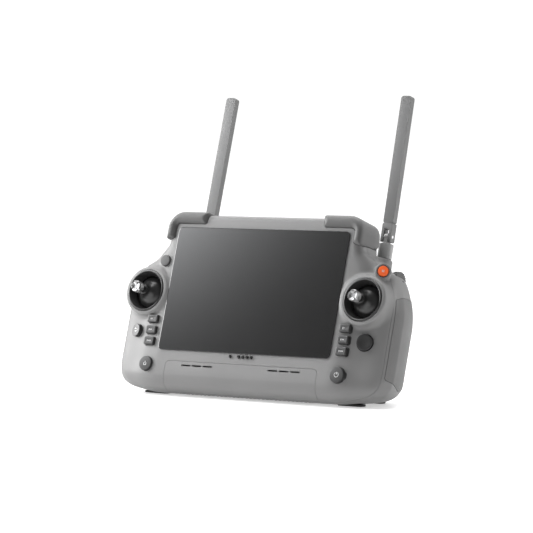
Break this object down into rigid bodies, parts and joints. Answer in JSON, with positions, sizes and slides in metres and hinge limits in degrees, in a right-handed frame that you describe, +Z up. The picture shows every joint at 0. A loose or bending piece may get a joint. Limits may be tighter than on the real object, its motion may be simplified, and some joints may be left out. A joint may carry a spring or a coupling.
{
  "type": "radio transmitter controller",
  "caption": "Hand-held radio transmitter: leaning casing with built-in screen, sprung gimbal sticks, keys, dials, and folding swivel antennas.",
  "frame": {"origin": "on the ground under the middle of the object as it stands leaning back on its feet", "axes": "+Z up, +X to the right seen from the screen side, +Y from the screen to the back"},
  "size_m": [0.268, 0.1236, 0.2447],
  "materials": {
    "antenna_plastic": "fine matte",
    "authority_plastic": "moulded",
    "battery_wrap": "cell wrap",
    "black_plastic": "moulded",
    "brass": "knurled insert",
    "bumper_rubber": "moulded soft-touch rubber",
    "charcoal_plastic": "moulded",
    "circuit_board": "solder mask",
    "display": "dark panel",
    "foot_rubber": "moulded",
    "gimbal_plastic": "black moulded",
    "grille_plastic": "moulded",
    "grip_rubber": "fine textured rubber",
    "heat_sink": "extruded",
    "knuckle_metal": "light paint",
    "light_window": "smoked window",
    "pause_plastic": "moulded, orange",
    "record_plastic": "moulded",
    "screen_glass": "cover glass over a dark display, opaque",
    "shell_paint": "fine matte paint",
    "steel": "turned",
    "stick_metal": "knurled, bright"
  },
  "bodies": {
    "casing": {"front_shell": "shell_paint", "rear_shell": "shell_paint", "lower_panel": "shell_paint", "cover_glass": "screen_glass", "display_panel": "display", "corner_bumpers": "bumper_rubber", "grip_pads": "grip_rubber", "status_lights": "light_window", "main_board": "circuit_board", "button_boards": "circuit_board", "heat_sink": "heat_sink", "fan_frame": "black_plastic", "internal_battery": "battery_wrap", "battery_pack": "black_plastic", "speakers": "black_plastic", "intake_grille": "grille_plastic", "mount_inserts": "brass", "case_screws": "steel", "feet": "foot_rubber", "gimbal_housings": "gimbal_plastic"},
    "left_gimbal_yoke": {"gimbal_yoke_left": "steel"},
    "left_stick": {"stick_left": "steel", "stick_dome_left": "gimbal_plastic", "stick_cap_left": "stick_metal"},
    "right_gimbal_yoke": {"gimbal_yoke_right": "steel"},
    "right_stick": {"stick_right": "steel", "stick_dome_right": "gimbal_plastic", "stick_cap_right": "stick_metal"},
    "left_key_1": {"left_key_1": "charcoal_plastic"},
    "left_key_2": {"left_key_2": "charcoal_plastic"},
    "left_key_3": {"left_key_3": "charcoal_plastic"},
    "right_key_1": {"right_key_1": "charcoal_plastic"},
    "right_key_2": {"right_key_2": "charcoal_plastic"},
    "right_key_3": {"right_key_3": "charcoal_plastic"},
    "back_button": {"back_button": "charcoal_plastic"},
    "home_button": {"home_button": "charcoal_plastic"},
    "power_button": {"power_button": "charcoal_plastic"},
    "authority_button": {"authority_button": "authority_plastic"},
    "pause_button": {"pause_button": "pause_plastic"},
    "five_way_frame": {"five_way_frame": "charcoal_plastic"},
    "five_way_rocker": {"five_way_rocker": "charcoal_plastic"},
    "five_way_cap": {"five_way_cap": "charcoal_plastic"},
    "record_button": {"record_button": "record_plastic"},
    "shutter_button": {"shutter_button": "charcoal_plastic"},
    "rear_button_left": {"rear_button_left": "charcoal_plastic"},
    "rear_button_right": {"rear_button_right": "charcoal_plastic"},
    "left_dial": {"left_dial": "charcoal_plastic"},
    "right_dial": {"right_dial": "charcoal_plastic"},
    "scroll_wheel": {"scroll_wheel": "charcoal_plastic"},
    "mode_switch": {"mode_switch": "charcoal_plastic"},
    "left_antenna_knuckle": {"antenna_knuckle_left": "knuckle_metal"},
    "left_antenna": {"antenna_blade_left": "antenna_plastic", "antenna_pin_left": "steel"},
    "right_antenna_knuckle": {"antenna_knuckle_right": "knuckle_metal"},
    "right_antenna": {"antenna_blade_right": "antenna_plastic", "antenna_pin_right": "steel"},
    "battery_cover": {"battery_cover": "shell_paint"},
    "cover_latch": {"cover_latch": "charcoal_plastic"},
    "port_cover": {"port_cover": "bumper_rubber"},
    "fan_rotor": {"fan_rotor": "black_plastic"}
  },
  "joints": [
    {"name": "left_stick_up_down", "type": "hinge", "parent": "casing", "child": "left_gimbal_yoke", "pos_m": [-0.106, -0.02457, 0.07907], "axis": [1, 0, 0], "range_deg": [-18, 18], "stiffness_Nm_per_rad": 0.06},
    {"name": "left_stick_left_right", "type": "hinge", "parent": "left_gimbal_yoke", "child": "left_stick", "pos_m": [-0.106, -0.02457, 0.07907], "axis": [0, 0.3007, 0.9537], "range_deg": [-18, 18], "stiffness_Nm_per_rad": 0.06},
    {"name": "right_stick_up_down", "type": "hinge", "parent": "casing", "child": "right_gimbal_yoke", "pos_m": [0.106, -0.02457, 0.07907], "axis": [1, 0, 0], "range_deg": [-18, 18], "stiffness_Nm_per_rad": 0.06},
    {"name": "right_stick_left_right", "type": "hinge", "parent": "right_gimbal_yoke", "child": "right_stick", "pos_m": [0.106, -0.02457, 0.07907], "axis": [0, 0.3007, 0.9537], "range_deg": [-18, 18], "stiffness_Nm_per_rad": 0.06},
    {"name": "left_key_1_press", "type": "slide", "parent": "casing", "child": "left_key_1", "axis": [0, 0.9537, -0.3007], "range_m": [0, 0.001], "stiffness_N_per_m": 800},
    {"name": "left_key_2_press", "type": "slide", "parent": "casing", "child": "left_key_2", "axis": [0, 0.9537, -0.3007], "range_m": [0, 0.001], "stiffness_N_per_m": 800},
    {"name": "left_key_3_press", "type": "slide", "parent": "casing", "child": "left_key_3", "axis": [0, 0.9537, -0.3007], "range_m": [0, 0.001], "stiffness_N_per_m": 800},
    {"name": "right_key_1_press", "type": "slide", "parent": "casing", "child": "right_key_1", "axis": [0, 0.9537, -0.3007], "range_m": [0, 0.001], "stiffness_N_per_m": 800},
    {"name": "right_key_2_press", "type": "slide", "parent": "casing", "child": "right_key_2", "axis": [0, 0.9537, -0.3007], "range_m": [0, 0.001], "stiffness_N_per_m": 800},
    {"name": "right_key_3_press", "type": "slide", "parent": "casing", "child": "right_key_3", "axis": [0, 0.9537, -0.3007], "range_m": [0, 0.001], "stiffness_N_per_m": 800},
    {"name": "back_button_press", "type": "slide", "parent": "casing", "child": "back_button", "axis": [0.3239, 0.9023, -0.2845], "range_m": [0, 0.001], "stiffness_N_per_m": 800},
    {"name": "home_button_press", "type": "slide", "parent": "casing", "child": "home_button", "axis": [0, 0.9537, -0.3007], "range_m": [0, 0.001], "stiffness_N_per_m": 800},
    {"name": "power_button_press", "type": "slide", "parent": "casing", "child": "power_button", "axis": [0, 0.9537, -0.3007], "range_m": [0, 0.001], "stiffness_N_per_m": 800},
    {"name": "authority_button_press", "type": "slide", "parent": "casing", "child": "authority_button", "axis": [0, 0.9537, -0.3007], "range_m": [0, 0.0008], "stiffness_N_per_m": 800},
    {"name": "pause_button_press", "type": "slide", "parent": "casing", "child": "pause_button", "axis": [-0.4695, 0.8421, -0.2655], "range_m": [0, 0.001], "stiffness_N_per_m": 800},
    {"name": "five_way_up_down", "type": "hinge", "parent": "casing", "child": "five_way_frame", "pos_m": [0.10904, -0.04023, 0.0493], "axis": [0.9461, 0.3089, -0.0974], "range_deg": [-3, 3], "stiffness_Nm_per_rad": 0.05},
    {"name": "five_way_left_right", "type": "hinge", "parent": "five_way_frame", "child": "five_way_rocker", "pos_m": [0.10904, -0.04023, 0.0493], "axis": [0, 0.3007, 0.9537], "range_deg": [-3, 3], "stiffness_Nm_per_rad": 0.05},
    {"name": "five_way_press", "type": "slide", "parent": "five_way_rocker", "child": "five_way_cap", "axis": [-0.3239, 0.9023, -0.2845], "range_m": [0, 0.0008], "stiffness_N_per_m": 800},
    {"name": "record_button_press", "type": "slide", "parent": "casing", "child": "record_button", "axis": [0, -0.9166, -0.3999], "range_m": [0, 0.0012], "stiffness_N_per_m": 700},
    {"name": "shutter_button_press", "type": "slide", "parent": "casing", "child": "shutter_button", "axis": [0, -0.9166, -0.3999], "range_m": [0, 0.0012], "stiffness_N_per_m": 700},
    {"name": "rear_button_left_press", "type": "slide", "parent": "casing", "child": "rear_button_left", "axis": [0, -0.9537, 0.3007], "range_m": [0, 0.0012], "stiffness_N_per_m": 700},
    {"name": "rear_button_right_press", "type": "slide", "parent": "casing", "child": "rear_button_right", "axis": [0, -0.9537, 0.3007], "range_m": [0, 0.0012], "stiffness_N_per_m": 700},
    {"name": "left_dial_turn", "type": "hinge", "parent": "casing", "child": "left_dial", "pos_m": [-0.118, -0.00851, 0.09676], "axis": [1, 0, 0], "range_deg": [-30, 30], "stiffness_Nm_per_rad": 0.01},
    {"name": "right_dial_turn", "type": "hinge", "parent": "casing", "child": "right_dial", "pos_m": [0.118, -0.00851, 0.09676], "axis": [1, 0, 0], "range_deg": [-30, 30], "stiffness_Nm_per_rad": 0.01},
    {"name": "scroll_wheel_turn", "type": "hinge", "parent": "casing", "child": "scroll_wheel", "pos_m": [0.093, 0.01237, 0.0812], "axis": [1, 0, 0], "continuous": true},
    {"name": "mode_switch_slide", "type": "slide", "parent": "casing", "child": "mode_switch", "axis": [1, 0, 0], "range_m": [-0.003, 0.003]},
    {"name": "left_antenna_swivel", "type": "hinge", "parent": "casing", "child": "left_antenna_knuckle", "pos_m": [-0.0885, 0.01811, 0.11301], "axis": [0, 0.3007, 0.9537], "range_deg": [-90, 90]},
    {"name": "left_antenna_fold", "type": "hinge", "parent": "left_antenna_knuckle", "child": "left_antenna", "pos_m": [-0.0885, 0.02373, 0.13084], "axis": [-1, 0, 0], "range_deg": [0, 90]},
    {"name": "right_antenna_swivel", "type": "hinge", "parent": "casing", "child": "right_antenna_knuckle", "pos_m": [0.0885, 0.01811, 0.11301], "axis": [0, 0.3007, 0.9537], "range_deg": [-90, 90]},
    {"name": "right_antenna_fold", "type": "hinge", "parent": "right_antenna_knuckle", "child": "right_antenna", "pos_m": [0.0885, 0.02373, 0.13084], "axis": [-1, 0, 0], "range_deg": [0, 90]},
    {"name": "battery_cover_pull", "type": "slide", "parent": "casing", "child": "battery_cover", "axis": [0, 0.9537, -0.3007], "range_m": [0, 0.03]},
    {"name": "cover_latch_slide", "type": "slide", "parent": "casing", "child": "cover_latch", "axis": [0, -0.3007, -0.9537], "range_m": [0, 0.002], "stiffness_N_per_m": 400},
    {"name": "port_cover_lift", "type": "hinge", "parent": "casing", "child": "port_cover", "pos_m": [0, -0.00046, 0.14193], "axis": [-1, 0, 0], "range_deg": [0, 90]},
    {"name": "fan_spin", "type": "hinge", "parent": "casing", "child": "fan_rotor", "pos_m": [0, -0.0026, 0.1122], "axis": [0, 0.9537, -0.3007], "continuous": true}
  ]
}
